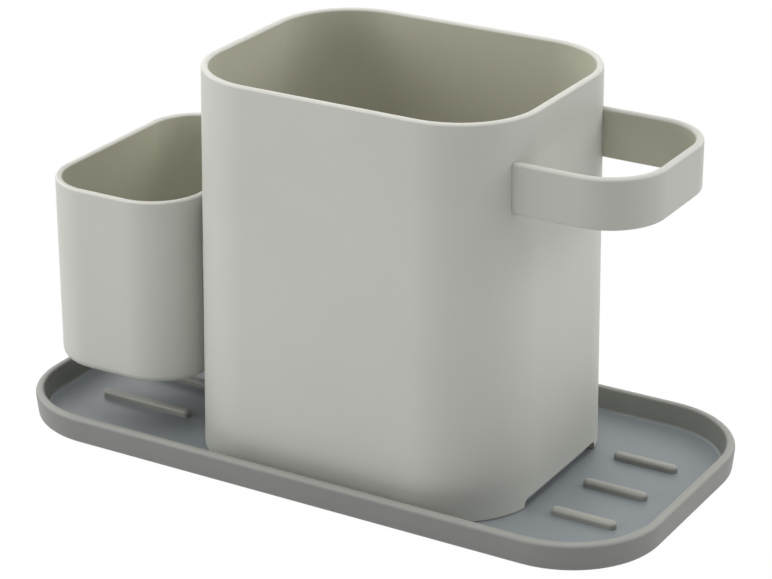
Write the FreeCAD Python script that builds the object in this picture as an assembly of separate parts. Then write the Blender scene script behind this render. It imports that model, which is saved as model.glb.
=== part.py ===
import FreeCAD
import Part

import os

# Kitchen sink caddy: a drip tray on four non-slip feet, a tall caddy that stands on the tray,
# a cloth rail set into the tall caddy's right wall and a small caddy hooked on its left wall.
# Millimetres. X runs along the tray with the rail at +X, the front faces -Y and Z points up.
# The origin is on the worktop, under the middle of the tray.

# Drip tray: a shallow drafted pan with a rounded lip
tray_length = 261.8
tray_width = 128.6
tray_corner = 36.3
tray_height = 10.8
tray_wall = 3.4
tray_floor = 1.5
tray_draft = 0.9
tray_base_round = 1.8
tray_floor_round = 1.0
lip_outer_round_share = 0.6
lip_inner_round_share = 0.25

# Drain ribs moulded on the tray floor, three at each end
rib_width = 3.8
rib_height = 2.8
rib_pitch = 25.4
rib_rows = 3
rib_round_share = 0.4
right_rib_length = 25.4
right_rib_x = 99.6
left_rib_length = 40.0
left_rib_x = -88.7

# Raised seat in the tray floor, just inside the tall caddy's skirt, that drains over its edge
seat_height = 2.8
seat_slope = 1.6
seat_clearance = 0.5
seat_round_share = 0.25

# Non-slip feet, pressed into shallow sockets under the tray
foot_diameter = 16.0
foot_thickness = 1.4
foot_stand = 0.8
foot_clearance = 0.15
foot_inset_x = 34.9
foot_inset_y = 23.3
foot_round_share = 0.5

# Tall caddy, sized at its foot; its outer walls lean in by the draft up to the rim
caddy_x = 10.3
caddy_length = 135.3
caddy_side_gap = 6.65
caddy_corner = 32.4
caddy_height = 148.5
caddy_draft = 1.8
caddy_wall = 2.6
caddy_floor = 2.4
caddy_floor_rise = 5.2
caddy_floor_round = 4.0
caddy_foot_round = 0.7
caddy_rim_round_share = 0.44

# Drain gaps in the bottom edge of the tall caddy's two end walls
notch_width = 56.0
notch_height = 4.0
notch_round = 3.0

# Drain slots in the two caddy floors
slot_width = 4.0
caddy_slot_length = 24.0
caddy_slot_pitch_x = 34.0
caddy_slot_pitch_y = 17.0
caddy_slot_columns = 3
caddy_slot_rows = 4
small_slot_length = 26.0
small_slot_pitch = 18.0
small_slot_rows = 4

# Cloth rail: a flat band bent into a loop, its two ends let into the caddy wall
rail_drop = 15.5
rail_height = 18.8
rail_side_inset = 19.45
rail_reach = 42.5
rail_thickness = 3.0
rail_corner = 22.3
rail_seat = 1.2
rail_clearance = 0.12
rail_round_share = 0.42

# Hanger on the tall caddy's left wall: a low loop that the small caddy's hook drops into
hanger_low = 26.2
hanger_height = 49.5
hanger_side_inset = 24.25
hanger_wall = 3.2
hanger_round_share = 0.4

# Small caddy
small_length = 63.0
small_side_step = 5.0
small_corner = 21.8
small_bottom = 22.0
small_height = 72.8
small_wall = 2.5
small_floor = 2.5
small_gap = 0.1
small_base_round = 3.6
small_floor_round = 2.5
small_rim_round_share = 0.44

# Hook at the back of the small caddy
hook_thickness = 3.2
hook_play = 1.0
hook_side_play = 2.8
hook_drop = 16.0
hook_round_share = 0.4
recess_clearance = 0.4

# Length by which every cutting block runs past the face that it cuts, and the
# distance within which two heights count as one
overrun = 2.0
same_height = 0.001

# Heights and places that follow from the sizes above
tray_low = foot_stand
tray_floor_top = tray_low + tray_floor
tray_rim = tray_low + tray_height
tray_hollow_draft = tray_draft * (tray_rim - tray_floor_top) / tray_height
caddy_width = tray_width - 2 * (tray_wall + caddy_side_gap)
caddy_foot = tray_floor_top
caddy_rim = caddy_foot + caddy_height
caddy_floor_low = caddy_foot + caddy_floor_rise
caddy_floor_top = caddy_floor_low + caddy_floor
caddy_right = caddy_x + caddy_length / 2
caddy_left = caddy_x - caddy_length / 2
rail_width = caddy_width - 2 * rail_side_inset
rail_depth = caddy_draft + rail_seat
rail_top = caddy_rim - rail_drop
rail_low = rail_top - rail_height
small_right = caddy_left - small_gap
small_width = caddy_width - 2 * small_side_step
small_x = small_right - small_length / 2
small_low = caddy_foot + small_bottom
small_floor_top = small_low + small_floor
small_rim = small_low + small_height
hanger_bottom = caddy_foot + hanger_low
hanger_top = hanger_bottom + hanger_height
hanger_depth = small_gap + hook_thickness + hook_play + hanger_wall
hanger_width = caddy_width - 2 * hanger_side_inset
seat_inset = caddy_wall + seat_clearance
seat_top = tray_floor_top + seat_height
hook_width = hanger_width - 2 * (hanger_wall + hook_side_play)
recess_depth = hanger_depth + recess_clearance
recess_width = hanger_width + 2 * recess_clearance

Vector = FreeCAD.Vector
UP = Vector(0, 0, 1)
CORNER_SIDES = ((1, 1), (-1, 1), (-1, -1), (1, -1))
QUARTER_TURN = 90


def rounded_outline(x, y, length, width, corner, height):
    """Closed level wire: a rectangle with quarter-round corners, centred on x, y."""
    arcs = []
    for number, (side_x, side_y) in enumerate(CORNER_SIDES):
        centre_x = x + side_x * (length / 2 - corner)
        centre_y = y + side_y * (width / 2 - corner)
        start = number * QUARTER_TURN
        centre = Vector(centre_x, centre_y, height)
        arcs.append(Part.makeCircle(corner, centre, UP, start, start + QUARTER_TURN))
    edges = []
    for arc, following in zip(arcs, arcs[1:] + arcs[:1]):
        edges.append(arc)
        start = arc.Vertexes[-1].Point
        end = following.Vertexes[0].Point
        if start.distanceToPoint(end) > same_height:
            edges.append(Part.makeLine(start, end))
    return Part.Wire(edges)


def rounded_block(x, y, length, width, corner, low, high):
    """Upright block with rounded corners between two heights."""
    outline = rounded_outline(x, y, length, width, corner, low)
    return Part.Face(outline).extrude(Vector(0, 0, high - low))


def lofted_block(x, length, width, corner, low, high, foot_inset, head_inset):
    """Block with rounded corners whose outline is drawn in at its foot and at its head."""
    outlines = []
    for height, inset in ((low, foot_inset), (high, head_inset)):
        outlines.append(
            rounded_outline(x, 0, length - 2 * inset, width - 2 * inset, corner - inset, height)
        )
    return Part.makeLoft(outlines, True, True)


def drafted_block(length, width, corner, low, high, draft):
    """Block on the tray's centre, full size at its top and drawn in by the draft at its foot."""
    return lofted_block(0, length, width, corner, low, high, draft, 0)


def box_between(low, high):
    """Box between two opposite corners."""
    size = high - low
    return Part.makeBox(size.x, size.y, size.z, low)


def stadium_slot(x, y, length, width, low, high):
    """Upright block with two straight sides along X and half-round ends."""
    return rounded_block(x, y, length, width, width / 2, low, high)


def edges_at(shape, height):
    """Edges of a shape that lie level at one height."""
    found = []
    for edge in shape.Edges:
        span = edge.BoundBox
        if abs(span.ZMin - height) < same_height and abs(span.ZMax - height) < same_height:
            found.append(edge)
    return found


def edges_within(shape, height, x, length, width):
    """Level edges at one height that stay inside a rectangle centred on x."""
    found = []
    for edge in edges_at(shape, height):
        span = edge.BoundBox
        reach_x = max(abs(span.XMin - x), abs(span.XMax - x))
        reach_y = max(abs(span.YMin), abs(span.YMax))
        if reach_x < length / 2 + same_height and reach_y < width / 2 + same_height:
            found.append(edge)
    return found


def rounded_at(shape, height, radius):
    """Round every edge that lies level at one height."""
    return shape.makeFillet(radius, edges_at(shape, height))


def evenly_spaced(count, pitch):
    """Places of a row of equal pitch, centred on zero."""
    return [(number - (count - 1) / 2) * pitch for number in range(count)]


def make_rib(x, y, length):
    """One drain rib: a low bar with round ends and a rounded top, rooted in the tray floor."""
    top = tray_floor_top + rib_height
    bar = stadium_slot(x, y, length, rib_width, tray_floor_top - tray_floor / 2, top)
    return rounded_at(bar, top, rib_width * rib_round_share)


def make_seat():
    """Raised seat with sloping sides that stands just inside the tall caddy's skirt."""
    sides = lofted_block(
        caddy_x,
        caddy_length,
        caddy_width,
        caddy_corner,
        tray_floor_top,
        seat_top,
        seat_inset,
        seat_inset + seat_slope,
    )
    root = caddy_block(seat_inset, tray_floor_top - tray_floor / 2, tray_floor_top)
    return rounded_at(sides, seat_top, seat_height * seat_round_share).fuse(root)


def make_seat_hollow():
    """Space under the raised seat, which keeps the tray floor at one thickness."""
    inset = seat_inset + seat_slope + tray_floor
    return caddy_block(inset, tray_low - overrun, tray_low + seat_height)


def foot_places():
    """Names and centres of the four feet."""
    x = tray_length / 2 - foot_inset_x
    y = tray_width / 2 - foot_inset_y
    return {
        "front_left_foot": Vector(-x, -y, 0),
        "front_right_foot": Vector(x, -y, 0),
        "rear_left_foot": Vector(-x, y, 0),
        "rear_right_foot": Vector(x, y, 0),
    }


def make_foot(place):
    """One non-slip foot: a flat disc with a rounded lower edge."""
    disc = Part.makeCylinder(foot_diameter / 2, foot_thickness, place, UP)
    return rounded_at(disc, 0, foot_stand * foot_round_share)


def make_tray():
    """Drip tray with its drain ribs, the caddy's raised seat and the sockets for the feet."""
    pan = drafted_block(tray_length, tray_width, tray_corner, tray_low, tray_rim, tray_draft)
    pan = rounded_at(pan, tray_low, tray_base_round)
    pan = rounded_at(pan, tray_rim, tray_wall * lip_outer_round_share)
    inner_length = tray_length - 2 * tray_wall
    inner_width = tray_width - 2 * tray_wall
    hollow = drafted_block(
        inner_length,
        inner_width,
        tray_corner - tray_wall,
        tray_floor_top,
        tray_rim,
        tray_hollow_draft,
    )
    pan = pan.cut(rounded_at(hollow, tray_floor_top, tray_floor_round))
    lip = edges_within(pan, tray_rim, 0, inner_length, inner_width)
    pan = pan.makeFillet(tray_wall * lip_inner_round_share, lip)
    raised = [make_seat()]
    for y in evenly_spaced(rib_rows, rib_pitch):
        raised.append(make_rib(right_rib_x, y, right_rib_length))
        raised.append(make_rib(left_rib_x, y, left_rib_length))
    pan = pan.fuse(raised).cut(make_seat_hollow())
    for place in foot_places().values():
        socket = Part.makeCylinder(foot_diameter / 2 + foot_clearance, foot_thickness, place, UP)
        pan = pan.cut(socket)
    return pan.removeSplitter()


def caddy_block(inset, low, high):
    """Block with the tall caddy's outline, drawn in all round by the inset."""
    return rounded_block(
        caddy_x,
        0,
        caddy_length - 2 * inset,
        caddy_width - 2 * inset,
        caddy_corner - inset,
        low,
        high,
    )


def make_notch():
    """Cutter for the drain gaps in both end walls: a flat arch that runs along X."""
    start = caddy_left - overrun
    half = notch_width / 2
    top = caddy_foot + notch_height
    block = box_between(
        Vector(start, -half, caddy_foot - overrun),
        Vector(caddy_right + overrun, half, top),
    )
    crown = [edge for edge in edges_at(block, top) if edge.BoundBox.XLength > edge.BoundBox.YLength]
    return block.makeFillet(notch_round, crown)


def rail_band(extra):
    """Closed band of the cloth rail, grown all round by extra, reaching into the tall caddy."""
    outer_end = caddy_right + rail_reach
    length = 2 * (outer_end - caddy_x)
    low = rail_low - extra
    high = rail_top + extra
    outer = rounded_block(
        caddy_x, 0, length + 2 * extra, rail_width + 2 * extra, rail_corner + extra, low, high
    )
    inset = rail_thickness + extra
    inner = rounded_block(
        caddy_x, 0, length - 2 * inset, rail_width - 2 * inset, rail_corner - inset, low, high
    )
    band = outer.cut(inner)
    edges = edges_at(band, low) + edges_at(band, high)
    band = band.makeFillet(rail_thickness * rail_round_share, edges)
    kept = box_between(
        Vector(caddy_x, -rail_width, low - overrun),
        Vector(outer_end + overrun, rail_width, high + overrun),
    )
    return band.common(kept)


def make_cloth_rail():
    """Cloth rail, cut off at the bottom of its two seats in the caddy wall."""
    wall = caddy_block(rail_depth - rail_clearance, caddy_foot, rail_top + overrun)
    return rail_band(0).cut(wall)


def make_hanger():
    """Hanger loop on the left wall, open at its top and bottom."""
    left = caddy_left - hanger_depth
    half = hanger_width / 2
    loop = box_between(
        Vector(left, -half, hanger_bottom),
        Vector(caddy_x, half, hanger_top),
    )
    gap = box_between(
        Vector(left + hanger_wall, hanger_wall - half, hanger_bottom - overrun),
        Vector(caddy_x, half - hanger_wall, hanger_top + overrun),
    )
    loop = loop.cut(gap)
    edges = edges_at(loop, hanger_bottom) + edges_at(loop, hanger_top)
    loop = loop.makeFillet(hanger_wall * hanger_round_share, edges)
    return loop.cut(caddy_block(caddy_wall / 2, hanger_bottom - overrun, hanger_top + overrun))


def make_main_caddy():
    """Tall caddy: shell on a drained skirt, with the hanger loop and the rail's two seats."""
    shell = lofted_block(
        caddy_x, caddy_length, caddy_width, caddy_corner, caddy_foot, caddy_rim, 0, caddy_draft
    )
    shell = rounded_at(shell, caddy_foot, caddy_foot_round)
    inside = caddy_block(caddy_draft + caddy_wall, caddy_floor_top, caddy_rim)
    shell = shell.cut(rounded_at(inside, caddy_floor_top, caddy_floor_round))
    shell = shell.cut(caddy_block(caddy_wall, caddy_foot - overrun, caddy_floor_low))
    shell = rounded_at(shell, caddy_rim, caddy_wall * caddy_rim_round_share)
    shell = shell.cut(make_notch())
    for column in evenly_spaced(caddy_slot_columns, caddy_slot_pitch_x):
        for y in evenly_spaced(caddy_slot_rows, caddy_slot_pitch_y):
            slot = stadium_slot(
                caddy_x + column,
                y,
                caddy_slot_length,
                slot_width,
                caddy_floor_low - overrun,
                caddy_floor_top + overrun,
            )
            shell = shell.cut(slot)
    seats = rail_band(rail_clearance).cut(caddy_block(rail_depth, caddy_foot, caddy_rim))
    return shell.cut(seats).fuse(make_hanger()).removeSplitter()


def small_block(inset, low, high):
    """Block with the small caddy's outline, drawn in all round by the inset."""
    return rounded_block(
        small_x,
        0,
        small_length - 2 * inset,
        small_width - 2 * inset,
        small_corner - inset,
        low,
        high,
    )


def recess_block(extra, low):
    """Space that the hanger takes up in the small caddy's back, grown by extra."""
    half = recess_width / 2 + extra
    return box_between(
        Vector(caddy_left - recess_depth - extra, -half, low),
        Vector(caddy_left, half, hanger_top + extra),
    )


def make_hook():
    """Tongue that hangs from the recess's roof into the hanger loop."""
    tip = hanger_top - hook_drop
    tongue = box_between(
        Vector(small_right - hook_thickness, -hook_width / 2, tip),
        Vector(small_right, hook_width / 2, hanger_top + small_wall),
    )
    return rounded_at(tongue, tip, hook_thickness * hook_round_share)


def make_small_caddy():
    """Small caddy: shell with a drained floor, a recess over the hanger and a hook inside it."""
    shell = small_block(0, small_low, small_rim)
    shell = rounded_at(shell, small_low, small_base_round)
    inside = small_block(small_wall, small_floor_top, small_rim)
    inside = rounded_at(inside, small_floor_top, small_floor_round)
    shell = shell.cut(inside.cut(recess_block(small_wall, small_low)))
    rim = edges_at(shell, small_rim)
    shell = shell.makeFillet(small_wall * small_rim_round_share, rim)
    shell = shell.cut(recess_block(0, small_low - overrun))
    shell = shell.fuse(make_hook())
    floor_x = (small_x - small_length / 2 + caddy_left - recess_depth) / 2
    for y in evenly_spaced(small_slot_rows, small_slot_pitch):
        slot = stadium_slot(
            floor_x,
            y,
            small_slot_length,
            slot_width,
            small_low - overrun,
            small_floor_top + overrun,
        )
        shell = shell.cut(slot)
    return shell.removeSplitter()


def main():
    """Build every piece and write one STEP file for each."""
    pieces = {
        "drip_tray": make_tray(),
        "main_caddy": make_main_caddy(),
        "cloth_rail": make_cloth_rail(),
        "small_caddy": make_small_caddy(),
    }
    for name, place in foot_places().items():
        pieces[name] = make_foot(place)
    os.makedirs("parts", exist_ok=True)
    for name, shape in pieces.items():
        shape.exportStep(f"parts/{name}.step")
        print(name, shape.isValid(), len(shape.Solids), round(shape.Volume))


main()
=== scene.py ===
"""Looks of a kitchen sink caddy: drip tray, tall caddy with a cloth rail, and a small hooked-on caddy.

Lengths are metres in the part's own frame. X runs along the tray towards the cloth rail, the front
faces -Y and Z points up from the worktop.
"""

import logging
import math
from collections.abc import Callable
from dataclasses import dataclass
from enum import Enum
from typing import ClassVar

import bpy
from mathutils import Color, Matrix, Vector

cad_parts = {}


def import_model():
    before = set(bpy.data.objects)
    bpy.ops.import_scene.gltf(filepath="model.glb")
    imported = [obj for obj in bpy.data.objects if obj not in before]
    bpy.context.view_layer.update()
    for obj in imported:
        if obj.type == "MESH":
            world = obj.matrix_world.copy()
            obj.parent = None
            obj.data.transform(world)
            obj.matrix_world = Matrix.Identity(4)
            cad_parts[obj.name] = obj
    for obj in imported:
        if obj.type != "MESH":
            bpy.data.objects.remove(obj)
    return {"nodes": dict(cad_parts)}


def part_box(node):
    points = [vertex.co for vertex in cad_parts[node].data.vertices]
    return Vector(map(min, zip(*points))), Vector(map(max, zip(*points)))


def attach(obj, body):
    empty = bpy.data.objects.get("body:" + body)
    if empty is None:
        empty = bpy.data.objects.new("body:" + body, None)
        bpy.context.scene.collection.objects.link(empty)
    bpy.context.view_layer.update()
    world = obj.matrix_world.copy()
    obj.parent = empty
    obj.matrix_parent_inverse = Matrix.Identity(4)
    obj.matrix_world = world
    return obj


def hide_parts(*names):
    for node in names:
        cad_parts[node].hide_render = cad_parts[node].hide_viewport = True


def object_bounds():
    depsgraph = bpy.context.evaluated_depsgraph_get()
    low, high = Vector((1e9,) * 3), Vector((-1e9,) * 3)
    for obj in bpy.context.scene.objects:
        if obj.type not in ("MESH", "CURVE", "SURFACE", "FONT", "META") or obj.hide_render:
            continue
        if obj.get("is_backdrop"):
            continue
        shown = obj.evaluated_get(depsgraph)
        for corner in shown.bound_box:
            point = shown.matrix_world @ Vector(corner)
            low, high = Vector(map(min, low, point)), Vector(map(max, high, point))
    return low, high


LOG = logging.getLogger("sink_caddy")

MM = 0.001

# Steps in a quarter round, by how much of it shows
CORNER_STEPS = 20
ROUND_STEPS = 5
SMALL_STEPS = 3

# Bevel profile that gives a true round
ROUND_PROFILE = 0.5

# Distance within which two places count as one, and the run of a cutter past the face that it cuts
SAME_PLACE = 0.02 * MM
OVERRUN = 2.0 * MM

# Least Z of a level face's normal, whichever way up it lies
LEVEL_NORMAL = 0.5

# Widest angle that is shaded smooth, and the neutral weight of broad faces against small ones
SMOOTH_ANGLE = math.radians(32.0)
FACE_WEIGHT = 50

# Brightest level of a screen colour
FULL_LEVEL = 255.0

# The rail, a piece of its own, is painted a little darker than the caddies, a painted shade
RAIL_PAINTED_SHADE = 0.955

Piece = bpy.types.Object
Skin = bpy.types.Material
Socket = bpy.types.NodeSocket
Outputs = bpy.types.NodeOutputs
Srgb = tuple[float, float, float]
Fade = tuple[float, float]
Box = tuple[Vector, Vector]
PointTest = Callable[[Vector], bool]
FaceTest = Callable[[Vector, Vector], bool]


class Body(Enum):
    """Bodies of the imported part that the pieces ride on."""

    TRAY = "tray_body"
    CADDY = "caddy_body"
    SMALL_CADDY = "small_caddy_body"


class Slot(Enum):
    """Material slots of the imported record."""

    CADDY_PLASTIC = "caddy_plastic"
    TRAY_PLASTIC = "tray_plastic"


class Join(Enum):
    """Ways in which a second block changes a piece."""

    CUT = "DIFFERENCE"
    FUSE = "UNION"


class Pick(Enum):
    """Kinds of mesh element that an edit-mode move acts on, as Blender's three switches."""

    EDGES = (False, True, False)
    FACES = (False, False, True)


class Rounding(Enum):
    """What a bevel rounds."""

    EDGES = "EDGES"
    CORNERS = "VERTICES"


class Kind(Enum):
    """Kinds of socket that a shader group has."""

    COLOUR = "NodeSocketColor"
    NUMBER = "NodeSocketFloat"


class Op(Enum):
    """Operations of a math node."""

    ADD = "ADD"
    SUBTRACT = "SUBTRACT"
    MULTIPLY = "MULTIPLY"
    DIVIDE = "DIVIDE"
    MAXIMUM = "MAXIMUM"
    ABSOLUTE = "ABSOLUTE"


@dataclass(frozen=True)
class Outline:
    """Level rectangle with quarter-round corners, the plan of every moulded shell."""

    x: float
    y: float
    length: float
    width: float
    corner: float = 0.0

    @classmethod
    def between(cls, low: Vector, high: Vector, corner: float = 0.0) -> "Outline":
        """Outline that fills the plan of a box from its lowest to its highest corner."""
        middle = (low + high) / 2
        return cls(middle.x, middle.y, high.x - low.x, high.y - low.y, corner)

    @classmethod
    def stadium(cls, x: float, y: float, length: float, width: float) -> "Outline":
        """Outline with two straight sides along X and half-round ends."""
        return cls(x, y, length, width, width / 2)

    def drawn_in(self, by: float) -> "Outline":
        """The same outline moved inwards all round."""
        return Outline(self.x, self.y, self.length - 2 * by, self.width - 2 * by, self.corner - by)

    def distance(self, point: Vector) -> float:
        """Level distance of a point from the outline, negative inside it.

        Args:
            point: Any point.

        Returns:
            The distance in metres.
        """
        past_x = abs(point.x - self.x) - self.length / 2 + self.corner
        past_y = abs(point.y - self.y) - self.width / 2 + self.corner
        outside = math.hypot(max(past_x, 0.0), max(past_y, 0.0))
        return outside + min(max(past_x, past_y), 0.0) - self.corner

    def carries(self, point: Vector) -> bool:
        """Whether a point lies on the outline, seen from above."""
        return abs(self.distance(point)) < SAME_PLACE


def same(first: float, second: float) -> bool:
    """Whether two lengths count as one."""
    return abs(first - second) < SAME_PLACE


def at_height(height: float) -> PointTest:
    """Test of whether a point lies at a height."""
    return lambda point: same(point.z, height)


def on_line(y: float, height: float) -> PointTest:
    """Test of whether a point lies on a level line along X."""
    return lambda point: same(point.y, y) and same(point.z, height)


def level_at(height: float) -> FaceTest:
    """Test of whether a face lies level at a height."""
    return lambda centre, normal: same(centre.z, height) and abs(normal.z) > LEVEL_NORMAL


def evenly_spaced(count: int, pitch: float) -> list[float]:
    """Places of a row of equal pitch, centred on zero."""
    return [(number - (count - 1) / 2) * pitch for number in range(count)]


def clear_bench() -> None:
    """Leave edit mode with nothing selected."""
    if bpy.context.mode != "OBJECT":
        bpy.ops.object.mode_set(mode="OBJECT")
    bpy.ops.object.select_all(action="DESELECT")


def take_up(piece: Piece) -> None:
    """Make one piece the only selected and the active object.

    Args:
        piece: The piece to work on.
    """
    clear_bench()
    piece.select_set(True)
    bpy.context.view_layer.objects.active = piece


def open_whole(piece: Piece) -> None:
    """Open a piece in edit mode with all of its mesh selected.

    Args:
        piece: The piece to work on.
    """
    take_up(piece)
    bpy.ops.object.mode_set(mode="EDIT")
    bpy.ops.mesh.select_all(action="SELECT")


def unpicked(piece: Piece, kind: Pick) -> bpy.types.Mesh:
    """Take up a piece with none of its mesh selected.

    Args:
        piece: The piece to work on.
        kind: What will be picked next.

    Returns:
        The piece's mesh, in object mode.
    """
    take_up(piece)
    bpy.context.tool_settings.mesh_select_mode = kind.value
    mesh = piece.data
    for elements in (mesh.vertices, mesh.edges, mesh.polygons):
        elements.foreach_set("select", [False] * len(elements))
    return mesh


def pick_edges(piece: Piece, wanted: PointTest) -> None:
    """Open a piece in edit mode with only some of its edges selected.

    Args:
        piece: The piece to work on.
        wanted: Test that both ends of such an edge pass.
    """
    mesh = unpicked(piece, Pick.EDGES)
    for edge in mesh.edges:
        edge.select = all(wanted(mesh.vertices[end].co) for end in edge.vertices)
    bpy.ops.object.mode_set(mode="EDIT")


def pick_faces(piece: Piece, wanted: FaceTest) -> None:
    """Open a piece in edit mode with only some of its faces selected.

    Args:
        piece: The piece to work on.
        wanted: Test that such a face's centre and normal pass.
    """
    mesh = unpicked(piece, Pick.FACES)
    for face in mesh.polygons:
        face.select = wanted(face.center, face.normal)
    bpy.ops.object.mode_set(mode="EDIT")


def extrude(rise: float) -> None:
    """Extrude what is selected straight up, or down where the rise is negative."""
    bpy.ops.mesh.extrude_region_move(TRANSFORM_OT_translate={"value": (0.0, 0.0, rise)})


def bevel(radius: float, steps: int, rounding: Rounding) -> None:
    """Round what is selected.

    Args:
        radius: Radius of the round.
        steps: Number of facets across it.
        rounding: Whether edges or corners are rounded.
    """
    bpy.ops.mesh.bevel(
        offset=radius,
        offset_type="OFFSET",
        segments=steps,
        profile=ROUND_PROFILE,
        affect=rounding.value,
    )


def merge_doubles() -> None:
    """Merge the points of the open mesh that lie in one place, and leave all of it selected."""
    bpy.ops.mesh.select_all(action="SELECT")
    bpy.ops.mesh.remove_doubles(threshold=SAME_PLACE / 2)
    bpy.ops.mesh.select_all(action="SELECT")


def round_edges(piece: Piece, wanted: PointTest, radius: float, steps: int) -> None:
    """Round the edges whose two ends are wanted.

    Args:
        piece: The piece to work on.
        wanted: Test of an edge's ends.
        radius: Radius of the round.
        steps: Number of facets across it.
    """
    pick_edges(piece, wanted)
    bevel(radius, steps, Rounding.EDGES)
    bpy.ops.object.mode_set(mode="OBJECT")


def lay_plate(name: str, outline: Outline, height: float, steps: int) -> Piece:
    """Lay a level plate with rounded corners.

    Args:
        name: Name of the new object.
        outline: Plan of the plate.
        height: Height that it lies at.
        steps: Facets in each corner.

    Returns:
        The plate, in edit mode and selected all over.
    """
    clear_bench()
    bpy.ops.mesh.primitive_plane_add(size=1.0, location=(outline.x, outline.y, height))
    plate = bpy.context.active_object
    plate.name = name
    plate.data.name = name
    plate.scale = (outline.length, outline.width, 1.0)
    bpy.ops.object.transform_apply(location=True, rotation=True, scale=True)
    bpy.ops.object.mode_set(mode="EDIT")
    bpy.ops.mesh.select_all(action="SELECT")
    if outline.corner > 0.0:
        bevel(outline.corner, steps, Rounding.CORNERS)
        merge_doubles()
    return plate


def raise_block(name: str, outline: Outline, low: float, high: float, steps: int = CORNER_STEPS) -> Piece:
    """Raise an upright block from an outline.

    Args:
        name: Name of the new object.
        outline: Plan of the block.
        low: Height of its foot.
        high: Height of its top.
        steps: Facets in each corner.

    Returns:
        The block, in object mode.
    """
    block = lay_plate(name, outline, low, steps)
    extrude(high - low)
    bpy.ops.object.mode_set(mode="OBJECT")
    return block


def hollow(piece: Piece, face_height: float, wall: float, depth: float) -> None:
    """Sink a hollow into a level face, leaving a wall all round.

    Args:
        piece: The piece to work on.
        face_height: Height of the face.
        wall: Thickness left round the hollow.
        depth: How far the bottom of the hollow moves, negative for down.
    """
    pick_faces(piece, level_at(face_height))
    bpy.ops.mesh.inset(thickness=wall, use_even_offset=True)
    extrude(depth)
    bpy.ops.object.mode_set(mode="OBJECT")


def draw_in(piece: Piece, height: float, outline: Outline, by: float) -> None:
    """Draw a level face in on all sides, which gives the wall that it ends its draft.

    Args:
        piece: The piece to work on.
        height: Height of the face.
        outline: Plan of the face.
        by: Distance that its sides move.
    """
    pick_faces(piece, level_at(height))
    target = outline.drawn_in(by)
    shares = (target.length / outline.length, target.width / outline.width, 1.0)
    bpy.ops.transform.resize(value=shares, center_override=(outline.x, outline.y, height))
    bpy.ops.object.mode_set(mode="OBJECT")


def repeat_mesh(piece: Piece, shift: Vector, count: int) -> None:
    """Repeat everything in a piece's mesh at an even pitch.

    Args:
        piece: The piece to work on.
        shift: Step from one copy to the next.
        count: Number of places in all, the first included.
    """
    open_whole(piece)
    for _ in range(count - 1):
        bpy.ops.mesh.duplicate_move(TRANSFORM_OT_translate={"value": tuple(shift)})
    bpy.ops.object.mode_set(mode="OBJECT")


def apply_modifier(piece: Piece, kind: str, **settings: object) -> None:
    """Put a modifier on a piece and apply it.

    Args:
        piece: The piece to work on.
        kind: Blender's name of the kind of modifier.
        settings: Properties of the modifier.
    """
    take_up(piece)
    modifier = piece.modifiers.new(kind, kind)
    for name, value in settings.items():
        setattr(modifier, name, value)
    bpy.ops.object.modifier_apply(modifier=modifier.name)


def combine(piece: Piece, other: Piece, join: Join) -> None:
    """Cut a block out of a piece or fuse it on, which uses the block up."""
    apply_modifier(piece, "BOOLEAN", operation=join.value, solver="EXACT", object=other)
    bpy.data.objects.remove(other, do_unlink=True)


def even_normals(piece: Piece) -> None:
    """Smooth a finished piece, with its broad faces kept flat.

    Args:
        piece: The finished piece.
    """
    open_whole(piece)
    merge_doubles()
    bpy.ops.object.mode_set(mode="OBJECT")
    bpy.ops.object.shade_smooth_by_angle(angle=SMOOTH_ANGLE)
    apply_modifier(piece, "WEIGHTED_NORMAL", keep_sharp=True, weight=FACE_WEIGHT)


def wear(piece: Piece, skin: Skin) -> None:
    """Give a piece one material all over."""
    piece.data.materials.clear()
    piece.data.materials.append(skin)


def deliver(piece: Piece, node: str, body: Body, skin: Skin) -> None:
    """Give a finished piece its skin and put it in its node's place.

    Args:
        piece: The finished piece.
        node: CAD node that it stands for.
        body: Body that it rides on.
        skin: The piece's material.
    """
    wear(piece, skin)
    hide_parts(node)
    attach(piece, body.value)
    LOG.info("%s: %d faces, for %s on %s", piece.name, len(piece.data.polygons), node, body.value)


def linear(colour: Srgb) -> tuple[float, float, float, float]:
    """A screen colour, 0 to 255, as the linear colour with full alpha that a shader takes."""
    shares = Color([level / FULL_LEVEL for level in colour])
    return (*shares.from_srgb_to_scene_linear(), 1.0)


def shaded(colour: Srgb, shade: float) -> Srgb:
    """A colour made lighter or darker by a share."""
    red, green, blue = colour
    return shade * red, shade * green, shade * blue


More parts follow.
